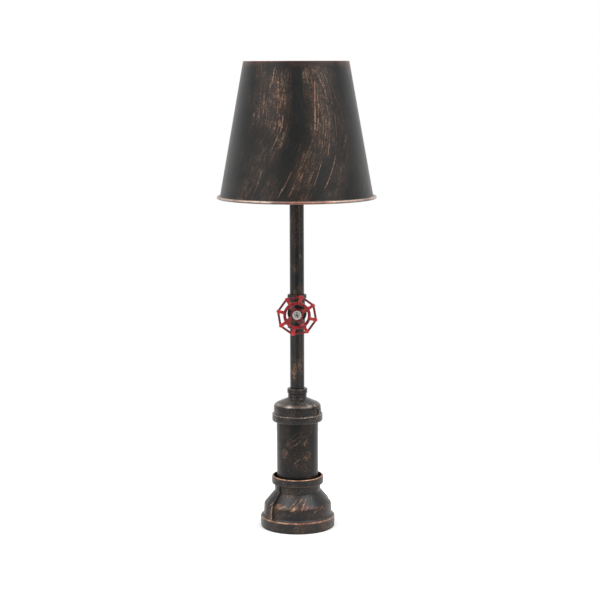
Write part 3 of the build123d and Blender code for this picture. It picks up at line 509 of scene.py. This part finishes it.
base_patches = (
    # azimuth, height, half width, half height, density
    (-34, 39 * mm, 15, 5 * mm, 1.3),
    (-8, 37 * mm, 9, 5 * mm, 0.9),
    (14, 38 * mm, 9, 5 * mm, 0.8),
    (30, 38 * mm, 10, 4 * mm, 0.6),
    (-66, 28 * mm, 12, 12 * mm, 0.7),
    (66, 36 * mm, 14, 5 * mm, 0.6),
)
base_strokes = (
    # azimuth and height of the lower and the upper end, bow, half width, density
    (-36, 34 * mm, -28, 40 * mm, 0, 3.0, 0.6),
    (-17, 35 * mm, 1, 51 * mm, 0, 1.5, 0.55),
    (-10, 37 * mm, 13, 52 * mm, 0, 1.2, 0.38),
    (-12, 33 * mm, -4, 40 * mm, 0, 3.2, 0.95),
    (-8, 33 * mm, 1, 42 * mm, 0, 1.8, 0.75),
    (6, 34 * mm, 12, 44 * mm, 0, 2.0, 0.8),
    (9, 36 * mm, 20, 51 * mm, -1.5, 1.4, 0.8),
    (12, 35 * mm, 22, 40 * mm, 0, 2.6, 0.5),
    (24, 36 * mm, 28, 41 * mm, 0, 1.8, 0.35),
    (31, 48 * mm, 34, 52 * mm, 0, 1.5, 0.25),
    (-16, 26 * mm, -9, 31 * mm, 0, 1.5, 0.5),
    (29, 30 * mm, 36, 35 * mm, 0, 1.3, 0.45),
    (-58, 36 * mm, -50, 44 * mm, 2, 1.8, 0.7),
    (44, 35 * mm, 52, 39 * mm, 0, 1.6, 0.5),
    (76, 34 * mm, 84, 46 * mm, 0, 1.6, 0.6),
)


def base_paint():
    """The base casting: strokes over the flare and copper on every edge that a hand or cloth rubs."""
    paint = leaning_paint(
        "base_paint",
        radius=48 * mm,
        lean=radians(38),
        grain=casting_grain,
        cover=0.45,
        patches=base_patches,
        strokes=base_strokes,
    )
    shoulder = paint.ring(shoulder_radius, shoulder_height + 1.0 * mm, 3.2 * mm)
    paint.show(shoulder * paint.dots * (paint.clumps * 0.8 + 0.2) * 0.26)
    paint.wear(paint.ring(mouth_radius - 1.0 * mm, mouth_height, 1.8 * mm), 0.78)
    paint.wear(paint.ring(band_radius - 0.4 * mm, band_height - 0.2 * mm, 1.5 * mm), 0.66)
    paint.wear(rib_edges(paint), 0.62)
    paint.wear(paint.ring(mouth_radius, collar_height, 1.4 * mm), 0.2)
    on_band = paint.rise(paint.distance, band_radius - 3 * mm, band_radius - 1.5 * mm)
    paint.show(paint.dots * (paint.clumps * 0.7 + 0.3) * (on_band * 0.06 + 0.03))
    paint.lift = on_band * 0.45 + 0.15
    paint.brown = on_band * 0.55 + 0.12
    reddened = paint.rise(paint.noise(paint.place, 48, 2.0, 0.5), 0.44, 0.60)
    paint.red = reddened * paint.rise(paint.half_turn, radians(-28), radians(-18)) * 0.45
    paint.close(0.36)
    return paint


column_patches = (
    # azimuth, height, half width, half height, density
    (-39, 116 * mm, 17, 11 * mm, 0.75),
    (27, 114 * mm, 17, 10 * mm, 0.7),
    (-22, 133 * mm, 20, 12 * mm, 0.5),
    (24, 134 * mm, 14, 12 * mm, 0.35),
    (10, 98 * mm, 24, 6 * mm, 0.4),
    (80, 126 * mm, 20, 14 * mm, 0.6),
)
column_strokes = (
    # azimuth and height of the lower and the upper end, bow, half width, density
    (-27, 137 * mm, -1, 150 * mm, 0, 1.4, 0.26),
    (-33, 127 * mm, 7, 145 * mm, 0, 1.5, 0.34),
    (-21, 125 * mm, 13, 139 * mm, 0, 1.5, 0.46),
    (18, 128 * mm, 31, 141 * mm, -2, 1.5, 0.34),
    (37, 144 * mm, 45, 152 * mm, 0, 1.4, 0.24),
    (-10, 102 * mm, 7, 110 * mm, 0, 1.5, 0.5),
    (-46, 111 * mm, -30, 122 * mm, 4, 1.8, 0.42),
    (19, 108 * mm, 36, 119 * mm, 4, 1.6, 0.38),
)


def column_paint():
    """The column's tube: faint upright streaks under a few flat strokes."""
    paint = leaning_paint(
        "column_paint",
        radius=column_radius,
        lean=radians(50),
        grain=tube_grain,
        cover=0.3,
        patches=column_patches,
        strokes=column_strokes,
        shine=0.22,
    )
    streaks = paint.rise(paint.hairs(paint.azimuth, 9, 4), 0.42, 0.66)
    paint.lift = streaks * 0.4
    paint.brown = 0.22
    paint.close(0.36)
    return paint


# worn patches on the dome's shoulder; the two at -22° and 34° also paint in the highlights that fall there
cap_wear_and_highlight_patches = (
    # azimuth, height, half width, half height, density
    (-22, cap_shoulder_height, 12, 4 * mm, 1.0),
    (34, cap_shoulder_height, 11, 4 * mm, 0.9),
    (-62, cap_shoulder_height, 20, 4 * mm, 0.6),
    (54, cap_shoulder_height - 0.5 * mm, 5, 3 * mm, 1.0),
)


def cap_paint():
    """The cap casting: paler where worn, and brightest on the two sides of its dome, where pale copper
    patches paint in the highlights.
    """
    paint = leaning_paint(
        "cap_paint",
        radius=32 * mm,
        lean=radians(38),
        grain=casting_grain,
        cover=0.45,
        patches=cap_wear_and_highlight_patches,
        shine=0.36,
    )
    rubbed_and_highlit = paint.clumps * 0.3
    for *spot, density in cap_wear_and_highlight_patches:
        rubbed_and_highlit = paint.most(rubbed_and_highlit, paint.patch(*spot) * density)
    # pale copper round the shoulder, strongest in the patches: wear with painted highlights
    shoulder = paint.ring(cap_shoulder_radius, cap_shoulder_height, 3.6 * mm)
    paint.show(shoulder * (paint.dots * 0.6 + 0.4) * (rubbed_and_highlit * 0.48 + 0.08))
    paint.wear(paint.ring(cap_band_radius - 0.6 * mm, cap_band_height, 1.4 * mm), 0.55)
    paint.wear(paint.ring(cap_neck_radius, cap_height, 1.4 * mm), 0.35)
    paint.pale = rubbed_and_highlit * 0.4 + 0.5
    paint.lift = 0.30
    paint.brown = 0.45
    paint.close(0.26)
    return paint


stem_highlight_streaks = 9  # pale streaks round the pipe, two of them 20° either side of the front as painted highlights
stem_patches = (
    # azimuth, height, half width, half height, density
    (-28, 238 * mm, 40, 15 * mm, 0.7),
    (32, 244 * mm, 30, 10 * mm, 0.5),
    (-20, 395 * mm, 40, 9 * mm, 0.7),
    (10, 455 * mm, 50, 12 * mm, 0.6),
    (-50, 440 * mm, 30, 12 * mm, 0.7),
)
stem_strokes = (
    # azimuth and height of the lower and the upper end, bow, half width, density
    (-12, 234 * mm, -40, 253 * mm, 0, 8, 0.45),
    (-22, 226 * mm, -52, 245 * mm, 0, 8, 0.45),
    (2, 238 * mm, -22, 255 * mm, 0, 5, 0.40),
    (22, 237 * mm, 2, 256 * mm, 0, 4, 0.42),
    (40, 234 * mm, 18, 253 * mm, 0, 4, 0.32),
    (28, 410 * mm, 18, 421 * mm, 0, 5, 0.45),
    (38, 408 * mm, 29, 418 * mm, 0, 4, 0.35),
    (-55, 460 * mm, -60, 471 * mm, 0, 6, 0.50),
    (3, 478 * mm, -3, 485 * mm, 0, 6, 0.35),
    (20, 481 * mm, 13, 489 * mm, 0, 5, 0.35),
)


def stem_paint():
    """The stem: pale upright streaks that paint in highlights, and strokes that lean to the left going up.
    """
    paint = leaning_paint(
        "stem_paint",
        radius=stem_radius,
        lean=radians(-30),
        grain=tube_grain,
        cover=0.5,
        patches=stem_patches,
        strokes=stem_strokes,
        shine=0.42,
    )
    # pale streaks nine times round, lightest 20° either side of the front: painted highlights
    upright = paint.rise(paint.math("COSINE", paint.azimuth * stem_highlight_streaks), 0.5, -0.9)
    uneven = paint.rise(paint.hairs(paint.azimuth, 3.2, 7), 0.36, 0.60)
    paint.lift = upright * (uneven * 1.4 + 0.7)
    paint.brown = 0.35
    paint.close(0.38)
    return paint


def fitting_paint():
    """Small castings and nuts: short hairs of copper, no strokes, and the black rubbed grey."""
    paint = leaning_paint(
        "fitting_paint", radius=14 * mm, lean=radians(35), grain=casting_grain, cover=0.6, shine=0.38
    )
    paint.lift = 0.6
    paint.close(0.42)
    return paint


# ---- Red enamel ----------------------------------------------------------------------------------
enamel_bright = (0.38, 0.015, 0.022, 1)
enamel_orange = (0.46, 0.045, 0.018, 1)
enamel_deep = (0.15, 0.006, 0.012, 1)
enamel_maroon = (0.085, 0.010, 0.018, 1)
# a dark wash on the handwheel, and painted shade in the screw's recess
wash_and_shade_black = (0.012, 0.008, 0.008, 1)

# distances from the wheel's axis where its parts end or begin: just off the part, and on it
arms_end = (15.5 * mm, 14.0 * mm)
ring_start = (14.8 * mm, 16.2 * mm)
ring_end = (21.0 * mm, 20.2 * mm)
rim_start = (21.6 * mm, 23.2 * mm)


def enamel():
    """The handwheel: bright knuckles, deeper ring and arms, dark rim members, black on the arms."""
    red = Finish("red_enamel", {"Specular IOR Level": 0.3, "Coat Weight": 0.12, "Coat Roughness": 0.12})
    side = red.x
    up = red.z - tee_height
    reach = red.math("SQRT", side * side + up * up)
    angle = red.math("ARCTAN2", side, up)
    lobes = red.math("COSINE", (angle - wheel_turn) * wheel_lobes)
    members = red.rise(reach, *rim_start) * red.rise(lobes, 0.72, 0.35)
    ring = red.rise(reach, *ring_start) * red.rise(reach, *ring_end)
    arms = red.rise(reach, *arms_end)
    blotches = red.noise(red.place, 210, 3.0, 0.6)
    thin = red.rise(red.noise(red.place, 120, 2.0, 0.5), 0.48, 0.60)
    colour = red.blend(thin * 0.6, enamel_bright, enamel_orange)
    colour = red.blend(ring * (red.rise(blotches, 0.42, 0.58) * 0.6 + 0.35), colour, enamel_deep)
    colour = red.blend(members * 0.85, colour, enamel_maroon)
    colour = red.blend(arms * 0.5, colour, enamel_deep)
    dirt = arms * red.rise(blotches, 0.46, 0.56)
    colour = red.blend(dirt * 0.92, colour, wash_and_shade_black)
    skin = red.noise(red.place, 700, 2.0, 0.5)
    red.drive({"Base Color": colour, "Roughness": 0.26 + blotches * 0.16})
    red.relief(skin, 0.10 * mm)
    return red


# ---- Plain metals, plastics and glass ------------------------------------------------------------
zinc_pale = (0.60, 0.61, 0.56, 1)
zinc_tarnished = (0.26, 0.27, 0.23, 1)
recess_depths = (0.5 * mm, 1.3 * mm)  # where the painted shade in the screw's recess begins and is full
glass_clear = (1, 1, 1, 1)
glass_filmed = (0.93, 0.93, 0.90, 1)


def darker(colour, share):
    """The colour brought down to a share of itself."""
    return tuple(channel * share for channel in colour[:3]) + (1,)


def metal(name, colour, roughness, grain_scale=900, grain_depth=0.01 * mm):
    """Plated or bare metal: slight stains in its colour and a fine grain in its gloss."""
    bright = Finish(name, {"Metallic": 1.0})
    stain = bright.rise(bright.noise(bright.place, 160, 3.0, 0.6), 0.40, 0.70)
    grain = bright.noise(bright.place, grain_scale, 2.0, 0.5)
    tone = bright.blend(stain, colour, darker(colour, 0.78))
    bright.drive({"Base Color": tone, "Roughness": roughness + grain * 0.15})
    bright.relief(grain, grain_depth)
    return bright


def screw_metal():
    """The handwheel's screw: dull zinc, with painted shade in its recess."""
    dull = Finish("dull_zinc", {"Metallic": 1.0})
    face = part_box("wheel_screw")[0].y
    stain = dull.noise(dull.place, 420, 3.0, 0.6)
    colour = dull.blend(dull.rise(stain, 0.40, 0.62), zinc_pale, zinc_tarnished)
    # black painted into the recess as shade, darker deeper in
    recess = dull.rise(dull.y - face, *recess_depths)
    colour = dull.blend(recess * 0.9, colour, wash_and_shade_black)
    dull.drive({"Base Color": colour, "Roughness": 0.34 + stain * 0.2})
    dull.relief(stain, 0.1 * mm)
    return dull


def moulded(name, colour, roughness, grain_scale, grain_depth):
    """Moulded, glazed or sprayed material: an even colour, clouded a little, with a fine skin."""
    plain = Finish(name, {})
    cloud = plain.rise(plain.noise(plain.place, 120, 3.0, 0.6), 0.35, 0.7)
    skin = plain.noise(plain.place, grain_scale, 2.0, 0.6)
    tone = plain.blend(cloud, colour, darker(colour, 0.82))
    plain.drive({"Base Color": tone, "Roughness": roughness + skin * 0.12})
    plain.relief(skin, grain_depth)
    return plain


def bulb_glass():
    """The bulb's clear glass, with a thin film on it."""
    clear = Finish("clear_glass", {"Transmission Weight": 1.0, "IOR": 1.45})
    film = clear.noise(clear.place, 60, 2.0, 0.5)
    tone = clear.blend(film * 0.3, glass_clear, glass_filmed)
    clear.drive({"Base Color": tone, "Roughness": film * 0.03})
    return clear


# ---- New pieces ----------------------------------------------------------------------------------
def deselect():
    """Leave edit mode and clear the selection, so that an operator acts on new pieces alone."""
    if bpy.context.object and bpy.context.object.mode != "OBJECT":
        bpy.ops.object.mode_set(mode="OBJECT")
    bpy.ops.object.select_all(action="DESELECT")


def settle(piece, name):
    """Name a new piece and put its place into its mesh."""
    piece.name = name
    bpy.ops.object.transform_apply(location=True, rotation=True, scale=True)
    return piece


def modify(piece, kind, **settings):
    """Add a modifier with these settings and apply it."""
    made = piece.modifiers.new(kind.lower(), kind)
    for setting, value in settings.items():
        setattr(made, setting, value)
    bpy.ops.object.modifier_apply(modifier=made.name)


def cast_wheel(finish):
    """The handwheel as it comes from the mould, with its joins run together."""
    deselect()
    wheel = nodes["handwheel"].copy()
    wheel.data = nodes["handwheel"].data.copy()
    bpy.context.scene.collection.objects.link(wheel)
    for key in list(wheel.keys()):
        del wheel[key]
    wheel.parent = None
    wheel.select_set(True)
    bpy.context.view_layer.objects.active = wheel
    bpy.ops.object.mode_set(mode="EDIT")
    bpy.ops.mesh.select_all(action="SELECT")
    bpy.ops.mesh.remove_doubles(threshold=weld_distance)
    bpy.ops.object.mode_set(mode="OBJECT")
    modify(wheel, "REMESH", mode="VOXEL", voxel_size=wheel_voxel)
    modify(wheel, "SMOOTH", factor=0.5, iterations=4)
    modify(wheel, "DISPLACE", strength=wheel_swell, mid_level=0)
    bpy.ops.object.shade_smooth()
    wheel.name = "cast_wheel"
    wheel.data.materials.clear()
    wheel.data.materials.append(finish.material)
    return wheel


def pick(piece, kind, wanted):
    """Select the edges or faces that are wanted, and nothing else, and stay in edit mode."""
    bpy.ops.object.mode_set(mode="EDIT")
    bpy.ops.mesh.select_mode(type=kind)
    bpy.ops.mesh.select_all(action="DESELECT")
    bpy.ops.object.mode_set(mode="OBJECT")
    items = piece.data.edges if kind == "EDGE" else piece.data.polygons
    for item in items:
        item.select = wanted(item)
    bpy.ops.object.mode_set(mode="EDIT")


def rolled_thread(name, finish, box, depth, plain_below, plain_above, wall):
    """A sheet-metal tube on the lamp's axis that fills a box, with a thread rolled in its wall.

    The crests are outside. The tube stays plain for a stretch at each end."""
    crest = box[1].x
    low, high = box[0].z, box[1].z
    thread_low, thread_high = low + plain_below, high - plain_above
    deselect()
    bpy.ops.mesh.primitive_cylinder_add(
        vertices=thread_sides,
        radius=crest,
        depth=high - low,
        end_fill_type="NOTHING",
        location=(0, 0, (low + high) / 2),
    )
    tube = settle(bpy.context.object, name)
    corners = tube.data.vertices
    pick(tube, "EDGE", lambda edge: corners[edge.vertices[0]].co.z != corners[edge.vertices[1]].co.z)
    bpy.ops.mesh.subdivide(number_cuts=round((high - low) / (thread_pitch / thread_rows)))
    bpy.ops.object.mode_set(mode="OBJECT")
    for corner in corners:
        height = corner.co.z
        turn = atan2(corner.co.y, corner.co.x) / (2 * pi)
        into = min(height - thread_low, thread_high - height) / (thread_pitch / 2)
        wave = 0.5 - 0.5 * cos(2 * pi * (height / thread_pitch - turn))
        radius = crest - depth * wave * min(max(into, 0), 1)
        corner.co.x = radius * cos(2 * pi * turn)
        corner.co.y = radius * sin(2 * pi * turn)
    modify(tube, "SOLIDIFY", thickness=wall, offset=-1)
    bpy.ops.object.shade_smooth_by_angle(angle=radians(40))
    tube.data.materials.append(finish.material)
    return tube


def shade_seam(finish):
    """The lap where the shade's sheet closes, up the rear of the cone."""
    deselect()
    seam_low = shade_bottom + seam_above_bottom
    seam_high = shade_high.z - seam_below_top
    slope = (shade_bottom_radius - shade_top_radius) / shade_height
    bpy.ops.mesh.primitive_cone_add(
        vertices=seam_sides,
        radius1=shade_bottom_radius - (seam_low - shade_bottom) * slope - seam_sink,
        radius2=shade_bottom_radius - (seam_high - shade_bottom) * slope - seam_sink,
        depth=seam_high - seam_low,
        end_fill_type="NOTHING",
        location=(0, 0, (seam_low + seam_high) / 2),
    )
    seam = settle(bpy.context.object, "shade_seam")
    pick(seam, "FACE", lambda face: abs(face.center.x) > seam_half_width or face.center.y < 0)
    bpy.ops.mesh.delete(type="FACE")
    bpy.ops.object.mode_set(mode="OBJECT")
    modify(seam, "SOLIDIFY", thickness=seam_proud + seam_sink, offset=1)
    modify(seam, "BEVEL", width=seam_edge_round, segments=2, limit_method="ANGLE")
    bpy.ops.object.shade_smooth_by_angle(angle=radians(30))
    seam.data.materials.append(finish.material)
    return seam


# ---- Placing the camera --------------------------------------------------------------------------
deselect()
bpy.ops.object.camera_add(location=camera_place)
camera = bpy.context.object
aim = Matrix.Rotation(camera_pitch, 3, "X") @ Matrix.Rotation(camera_roll, 3, "Z")
camera.rotation_euler = aim.to_euler()
camera.data.lens = camera_lens
bpy.context.scene.camera = camera
bpy.context.scene.view_settings.view_transform = "Standard"

# ---- Studio: white all round but dim in front, two softboxes, and a pale floor -------------------
world = bpy.data.worlds.new("studio")
world.use_nodes = True
bpy.context.scene.world = world
sky = Graph(world.node_tree)
towards = sky.node("TexCoord", {}, {}, "Generated")
east = sky.node("SeparateXYZ", {}, {0: towards})
south = 0 - east.other("Y")
flat_length = sky.math("SQRT", east * east + south * south)
facing = south / sky.most(flat_length, 0.001)
front = sky.rise(facing, dark_front_start, dark_front_full)
sides = sky.rise(sky.math("ABSOLUTE", facing), dim_sides_start, dim_sides_full)
light = sky_strength + (front * (dark_front - sky_strength) - sides * dim_sides) * flat_length
seen = sky.node("LightPath", {}, {}, "Is Camera Ray")
backdrop = world.node_tree.nodes["Background"]
sky.feed(backdrop.inputs["Color"], (1, 1, 1, 1))
sky.feed(backdrop.inputs["Strength"], light + seen * (1 - light))

for flank in (-1, 1):
    level = Matrix.Rotation(flank * softbox_azimuth, 3, "Z") @ Vector((0, -cos(softbox_elevation), 0))
    place = softbox_aim + softbox_distance * (level + Vector((0, 0, sin(softbox_elevation))))
    bpy.ops.object.light_add(type="AREA", location=place)
    softbox = bpy.context.object
    softbox.data.size = softbox_size
    softbox.data.energy = softbox_watts
    softbox.rotation_euler = (softbox_aim - place).to_track_quat("-Z", "Y").to_euler()

deselect()
bpy.ops.mesh.primitive_cylinder_add(
    vertices=floor_sides,
    radius=floor_radius,
    depth=floor_thickness,
    location=(0, 0, -floor_thickness / 2),
)
floor = settle(bpy.context.object, "floor")
board = Finish("pale_floor", {"Specular IOR Level": 0.2})
weave = board.noise(board.place, 25, 2.0, 0.5)
board.drive({"Base Color": floor_white, "Roughness": 0.7 + weave * 0.1})
floor.data.materials.append(board.material)

# ---- Finishes ------------------------------------------------------------------------------------
shade_finish = shade_paint()
red_enamel = enamel()
aluminium = metal("bulb_aluminium", (0.76, 0.76, 0.77, 1), 0.26)
brass = metal("brass", (0.78, 0.58, 0.26, 1), 0.22)
nickel = metal("nickel", (0.82, 0.80, 0.77, 1), 0.42)
zinc = metal("zinc_steel", (0.52, 0.52, 0.53, 1), 0.30)
glass = bulb_glass()
dress(shade_finish, "shade_cone")
dress(base_paint(), "base_reducer")
dress(column_paint(), "column_tube")
dress(cap_paint(), "cap_reducer")
dress(stem_paint(), "lower_pipe", "upper_pipe")
dress(fitting_paint(), "tee_fitting", "branch_bushing", "switch_locknut", "holder_cup", "shade_spider")
dress(red_enamel, "handwheel")
dress(nickel, "wheel_washer")
dress(screw_metal(), "wheel_screw")
dress(zinc, "cover_plate", "cover_screws", "clamp_rod", "clamp_washer", "clamp_nut", "cap_nut")
dress(zinc, "switch_body", "switch_shaft", "pipe_plug", "holder_nipple", "nipple_nut")
dress(zinc, "filament_plates", "rim_wire")
dress(brass, "switch_terminals", "centre_contact", "bulb_contact", "screw_shell")
dress(aluminium, "bulb_cap")
dress(glass, "bulb_globe", "bulb_mount")
dress(moulded("cast_weight", (0.10, 0.10, 0.10, 1), 0.65, 500, 0.4 * mm), "base_weight")
dress(moulded("black_felt", (0.020, 0.020, 0.020, 1), 0.95, 2600, 0.4 * mm), "foot_pad")
dress(moulded("black_rubber", (0.022, 0.022, 0.022, 1), 0.62, 1500, 0.04 * mm), "cord_grommet")
dress(moulded("phenolic", (0.020, 0.018, 0.016, 1), 0.30, 900, 0.02 * mm), "lamp_holder", "shade_ring_nut")
dress(moulded("ceramic", (0.82, 0.80, 0.75, 1), 0.22, 700, 0.03 * mm), "holder_insulator")
dress(moulded("vitrite", (0.015, 0.015, 0.018, 1), 0.12, 600, 0.02 * mm), "bulb_vitrite")
dress(moulded("phosphor", (0.88, 0.62, 0.14, 1), 0.40, 1800, 0.05 * mm), "filaments")
dress(moulded("lead_sleeve", (0.028, 0.028, 0.028, 1), 0.45, 1200, 0.02 * mm), "switch_lead")

# ---- New pieces on their bodies ------------------------------------------------------------------
wheel = cast_wheel(red_enamel)
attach(wheel, "wheel")
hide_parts("handwheel")

bulb_thread = rolled_thread(
    "bulb_thread",
    aluminium,
    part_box("bulb_cap"),
    depth=0.85 * mm,
    plain_below=2 * mm,
    plain_above=8.5 * mm,
    wall=0.4 * mm,
)
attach(bulb_thread, "bulb")
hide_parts("bulb_cap")

shell_thread = rolled_thread(
    "shell_thread",
    brass,
    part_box("screw_shell"),
    depth=0.3 * mm,
    plain_below=6 * mm,
    plain_above=1 * mm,
    wall=0.3 * mm,
)
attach(shell_thread, "stand")
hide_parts("screw_shell")

seam = shade_seam(shade_finish)
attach(seam, "shade")
